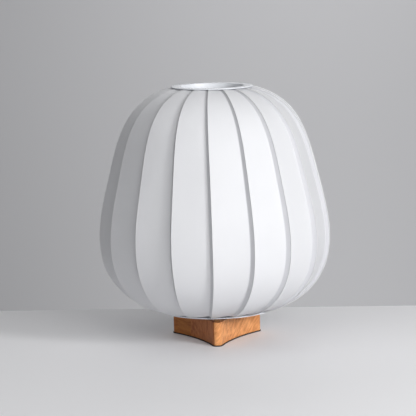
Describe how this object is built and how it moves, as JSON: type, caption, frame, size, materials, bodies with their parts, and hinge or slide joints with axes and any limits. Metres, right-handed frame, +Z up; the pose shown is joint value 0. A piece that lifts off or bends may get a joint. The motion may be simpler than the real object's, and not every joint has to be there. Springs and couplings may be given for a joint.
{
  "type": "table lamp",
  "caption": "Table lamp with a round shade of folded overlapping paper strips between two flat rings, on a three-cornered wooden block.",
  "frame": {"origin": "on the table under the middle of the shade, at the underside of the pad", "axes": "+Z up along the shade's axis, -Y towards the front tip of the base, +X to the right"},
  "size_m": [0.3952, 0.3998, 0.4366],
  "materials": {
    "shade_paper": "matt coated paper, white, folded",
    "wood": "oiled hardwood",
    "pad": "matt dark foam rubber",
    "steel": "plain rolled steel",
    "black_nylon": "matt moulded nylon",
    "zinc": "zinc plated steel",
    "ring_white": "matt white sheet",
    "holder_white": "glossy white moulding",
    "ceramic": "glazed steatite",
    "brass": "plain brass",
    "bulb_shell": "bright aluminium",
    "bulb_black": "black insulator",
    "bulb_white": "white moulding",
    "bulb_opal": "opal glass"
  },
  "bodies": {
    "lamp": {"base_block": "wood", "base_pad": "pad", "base_plate": "steel", "bottom_ring": "ring_white", "centre_contact": "brass", "cord_bushing": "black_nylon", "holder_body": "holder_white", "holder_cap": "holder_white", "holder_insert": "ceramic", "ring_screws": "zinc", "ring_spacers": "wood", "shade_strip_01": "shade_paper", "shade_strip_02": "shade_paper", "shade_strip_03": "shade_paper", "shade_strip_04": "shade_paper", "shade_strip_05": "shade_paper", "shade_strip_06": "shade_paper", "shade_strip_07": "shade_paper", "shade_strip_08": "shade_paper", "shade_strip_09": "shade_paper", "shade_strip_10": "shade_paper", "shade_strip_11": "shade_paper", "shade_strip_12": "shade_paper", "shade_strip_13": "shade_paper", "shade_strip_14": "shade_paper", "shade_strip_15": "shade_paper", "shade_strip_16": "shade_paper", "shade_strip_17": "shade_paper", "shade_strip_18": "shade_paper", "stem_nuts": "zinc", "stem_tube": "zinc", "stem_washers": "zinc", "thread_shell": "zinc", "top_ring": "ring_white"},
    "bulb": {"bulb_contact": "zinc", "bulb_insulator": "bulb_black", "bulb_screw_shell": "bulb_shell", "bulb_housing": "bulb_white", "bulb_dome": "bulb_opal"}
  },
  "joints": [
    {"name": "bulb_turn", "type": "hinge", "parent": "lamp", "child": "bulb", "pos_m": [0, 0, 0.19], "axis": [0, 0, 1], "continuous": true}
  ]
}
